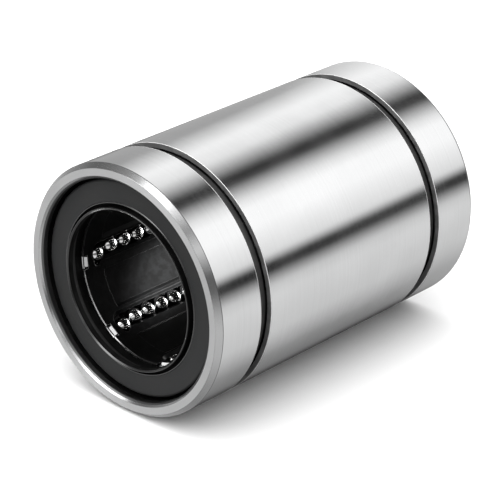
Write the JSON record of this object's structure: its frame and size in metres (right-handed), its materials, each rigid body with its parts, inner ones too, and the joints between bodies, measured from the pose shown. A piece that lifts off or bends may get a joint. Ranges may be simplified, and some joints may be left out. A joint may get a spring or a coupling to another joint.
{
  "type": "linear bearing",
  "caption": "Closed, sealed linear ball bearing: ground steel sleeve with two ring grooves, black cage with recirculating ball rows, end rings and recessed lip seals.",
  "frame": {"origin": "centre of the lower end face, on the bearing's axis", "axes": "+Z along the axis of the bore, towards the upper end; +Y towards the first loaded row"},
  "size_m": [0.04, 0.04, 0.059],
  "materials": {
    "sleeve_steel": "ground satin",
    "ring_steel": "rolled",
    "ball_steel": "polished",
    "cage_resin": "moulded",
    "seal_rubber": "moulded matt"
  },
  "bodies": {
    "bearing": {"outer_sleeve": "sleeve_steel", "ball_cage": "cage_resin", "lower_end_ring": "ring_steel", "upper_end_ring": "ring_steel", "lower_seal": "seal_rubber", "upper_seal": "seal_rubber"},
    "loaded_row_1": {"loaded_row_1": "ball_steel"},
    "return_row_1": {"return_row_1": "ball_steel"},
    "lower_turn_1": {"lower_turn_1": "ball_steel"},
    "upper_turn_1": {"upper_turn_1": "ball_steel"},
    "loaded_row_2": {"loaded_row_2": "ball_steel"},
    "return_row_2": {"return_row_2": "ball_steel"},
    "lower_turn_2": {"lower_turn_2": "ball_steel"},
    "upper_turn_2": {"upper_turn_2": "ball_steel"},
    "loaded_row_3": {"loaded_row_3": "ball_steel"},
    "return_row_3": {"return_row_3": "ball_steel"},
    "lower_turn_3": {"lower_turn_3": "ball_steel"},
    "upper_turn_3": {"upper_turn_3": "ball_steel"},
    "loaded_row_4": {"loaded_row_4": "ball_steel"},
    "return_row_4": {"return_row_4": "ball_steel"},
    "lower_turn_4": {"lower_turn_4": "ball_steel"},
    "upper_turn_4": {"upper_turn_4": "ball_steel"},
    "loaded_row_5": {"loaded_row_5": "ball_steel"},
    "return_row_5": {"return_row_5": "ball_steel"},
    "lower_turn_5": {"lower_turn_5": "ball_steel"},
    "upper_turn_5": {"upper_turn_5": "ball_steel"},
    "loaded_row_6": {"loaded_row_6": "ball_steel"},
    "return_row_6": {"return_row_6": "ball_steel"},
    "lower_turn_6": {"lower_turn_6": "ball_steel"},
    "upper_turn_6": {"upper_turn_6": "ball_steel"},
    "loaded_row_7": {"loaded_row_7": "ball_steel"},
    "return_row_7": {"return_row_7": "ball_steel"},
    "lower_turn_7": {"lower_turn_7": "ball_steel"},
    "upper_turn_7": {"upper_turn_7": "ball_steel"}
  },
  "joints": [
    {"name": "loaded_row_1_roll", "type": "slide", "parent": "bearing", "child": "loaded_row_1", "axis": [0, 0, 1], "range_m": [-0.00145, 0.00145]},
    {"name": "return_row_1_roll", "type": "slide", "parent": "bearing", "child": "return_row_1", "axis": [0, 0, -1], "range_m": [-0.00145, 0.00145]},
    {"name": "lower_turn_1_roll", "type": "hinge", "parent": "bearing", "child": "lower_turn_1", "pos_m": [-0.002, 0.01417, 0.00922], "axis": [-0.1406, -0.9901, 0], "range_deg": [-45, 45]},
    {"name": "upper_turn_1_roll", "type": "hinge", "parent": "bearing", "child": "upper_turn_1", "pos_m": [-0.002, 0.01417, 0.04978], "axis": [-0.1406, -0.9901, 0], "range_deg": [-45, 45]},
    {"name": "loaded_row_2_roll", "type": "slide", "parent": "bearing", "child": "loaded_row_2", "axis": [0, 0, 1], "range_m": [-0.00145, 0.00145]},
    {"name": "return_row_2_roll", "type": "slide", "parent": "bearing", "child": "return_row_2", "axis": [0, 0, -1], "range_m": [-0.00145, 0.00145]},
    {"name": "lower_turn_2_roll", "type": "hinge", "parent": "bearing", "child": "lower_turn_2", "pos_m": [-0.01233, 0.00727, 0.00922], "axis": [0.6864, -0.7272, 0], "range_deg": [-45, 45]},
    {"name": "upper_turn_2_roll", "type": "hinge", "parent": "bearing", "child": "upper_turn_2", "pos_m": [-0.01233, 0.00727, 0.04978], "axis": [0.6864, -0.7272, 0], "range_deg": [-45, 45]},
    {"name": "loaded_row_3_roll", "type": "slide", "parent": "bearing", "child": "loaded_row_3", "axis": [0, 0, 1], "range_m": [-0.00145, 0.00145]},
    {"name": "return_row_3_roll", "type": "slide", "parent": "bearing", "child": "return_row_3", "axis": [0, 0, -1], "range_m": [-0.00145, 0.00145]},
    {"name": "lower_turn_3_roll", "type": "hinge", "parent": "bearing", "child": "lower_turn_3", "pos_m": [-0.01337, -0.0051, 0.00922], "axis": [0.9965, 0.0832, 0], "range_deg": [-45, 45]},
    {"name": "upper_turn_3_roll", "type": "hinge", "parent": "bearing", "child": "upper_turn_3", "pos_m": [-0.01337, -0.0051, 0.04978], "axis": [0.9965, 0.0832, 0], "range_deg": [-45, 45]},
    {"name": "loaded_row_4_roll", "type": "slide", "parent": "bearing", "child": "loaded_row_4", "axis": [0, 0, 1], "range_m": [-0.00145, 0.00145]},
    {"name": "return_row_4_roll", "type": "slide", "parent": "bearing", "child": "return_row_4", "axis": [0, 0, -1], "range_m": [-0.00145, 0.00145]},
    {"name": "lower_turn_4_roll", "type": "hinge", "parent": "bearing", "child": "lower_turn_4", "pos_m": [-0.00435, -0.01364, 0.00922], "axis": [0.5563, 0.831, 0], "range_deg": [-45, 45]},
    {"name": "upper_turn_4_roll", "type": "hinge", "parent": "bearing", "child": "upper_turn_4", "pos_m": [-0.00435, -0.01364, 0.04978], "axis": [0.5563, 0.831, 0], "range_deg": [-45, 45]},
    {"name": "loaded_row_5_roll", "type": "slide", "parent": "bearing", "child": "loaded_row_5", "axis": [0, 0, 1], "range_m": [-0.00145, 0.00145]},
    {"name": "return_row_5_roll", "type": "slide", "parent": "bearing", "child": "return_row_5", "axis": [0, 0, -1], "range_m": [-0.00145, 0.00145]},
    {"name": "lower_turn_5_roll", "type": "hinge", "parent": "bearing", "child": "lower_turn_5", "pos_m": [0.00795, -0.0119, 0.00922], "axis": [-0.3029, 0.953, 0], "range_deg": [-45, 45]},
    {"name": "upper_turn_5_roll", "type": "hinge", "parent": "bearing", "child": "upper_turn_5", "pos_m": [0.00795, -0.0119, 0.04978], "axis": [-0.3029, 0.953, 0], "range_deg": [-45, 45]},
    {"name": "loaded_row_6_roll", "type": "slide", "parent": "bearing", "child": "loaded_row_6", "axis": [0, 0, 1], "range_m": [-0.00145, 0.00145]},
    {"name": "return_row_6_roll", "type": "slide", "parent": "bearing", "child": "return_row_6", "axis": [0, 0, -1], "range_m": [-0.00145, 0.00145]},
    {"name": "lower_turn_6_roll", "type": "hinge", "parent": "bearing", "child": "lower_turn_6", "pos_m": [0.01426, -0.0012, 0.00922], "axis": [-0.9339, 0.3574, 0], "range_deg": [-45, 45]},
    {"name": "upper_turn_6_roll", "type": "hinge", "parent": "bearing", "child": "upper_turn_6", "pos_m": [0.01426, -0.0012, 0.04978], "axis": [-0.9339, 0.3574, 0], "range_deg": [-45, 45]},
    {"name": "loaded_row_7_roll", "type": "slide", "parent": "bearing", "child": "loaded_row_7", "axis": [0, 0, 1], "range_m": [-0.00145, 0.00145]},
    {"name": "return_row_7_roll", "type": "slide", "parent": "bearing", "child": "return_row_7", "axis": [0, 0, -1], "range_m": [-0.00145, 0.00145]},
    {"name": "lower_turn_7_roll", "type": "hinge", "parent": "bearing", "child": "lower_turn_7", "pos_m": [0.00983, 0.0104, 0.00922], "axis": [-0.8617, -0.5073, 0], "range_deg": [-45, 45]},
    {"name": "upper_turn_7_roll", "type": "hinge", "parent": "bearing", "child": "upper_turn_7", "pos_m": [0.00983, 0.0104, 0.04978], "axis": [-0.8617, -0.5073, 0], "range_deg": [-45, 45]}
  ],
  "couplings": [
    {"joint": "return_row_1_roll", "follows": "loaded_row_1_roll", "ratio": 1},
    {"joint": "lower_turn_1_roll", "follows": "loaded_row_1_roll", "rad_per_m": 542.18},
    {"joint": "upper_turn_1_roll", "follows": "loaded_row_1_roll", "rad_per_m": 542.18},
    {"joint": "return_row_2_roll", "follows": "loaded_row_2_roll", "ratio": 1},
    {"joint": "lower_turn_2_roll", "follows": "loaded_row_2_roll", "rad_per_m": 542.18},
    {"joint": "upper_turn_2_roll", "follows": "loaded_row_2_roll", "rad_per_m": 542.18},
    {"joint": "return_row_3_roll", "follows": "loaded_row_3_roll", "ratio": 1},
    {"joint": "lower_turn_3_roll", "follows": "loaded_row_3_roll", "rad_per_m": 542.18},
    {"joint": "upper_turn_3_roll", "follows": "loaded_row_3_roll", "rad_per_m": 542.18},
    {"joint": "return_row_4_roll", "follows": "loaded_row_4_roll", "ratio": 1},
    {"joint": "lower_turn_4_roll", "follows": "loaded_row_4_roll", "rad_per_m": 542.18},
    {"joint": "upper_turn_4_roll", "follows": "loaded_row_4_roll", "rad_per_m": 542.18},
    {"joint": "return_row_5_roll", "follows": "loaded_row_5_roll", "ratio": 1},
    {"joint": "lower_turn_5_roll", "follows": "loaded_row_5_roll", "rad_per_m": 542.18},
    {"joint": "upper_turn_5_roll", "follows": "loaded_row_5_roll", "rad_per_m": 542.18},
    {"joint": "return_row_6_roll", "follows": "loaded_row_6_roll", "ratio": 1},
    {"joint": "lower_turn_6_roll", "follows": "loaded_row_6_roll", "rad_per_m": 542.18},
    {"joint": "upper_turn_6_roll", "follows": "loaded_row_6_roll", "rad_per_m": 542.18},
    {"joint": "return_row_7_roll", "follows": "loaded_row_7_roll", "ratio": 1},
    {"joint": "lower_turn_7_roll", "follows": "loaded_row_7_roll", "rad_per_m": 542.18},
    {"joint": "upper_turn_7_roll", "follows": "loaded_row_7_roll", "rad_per_m": 542.18}
  ]
}
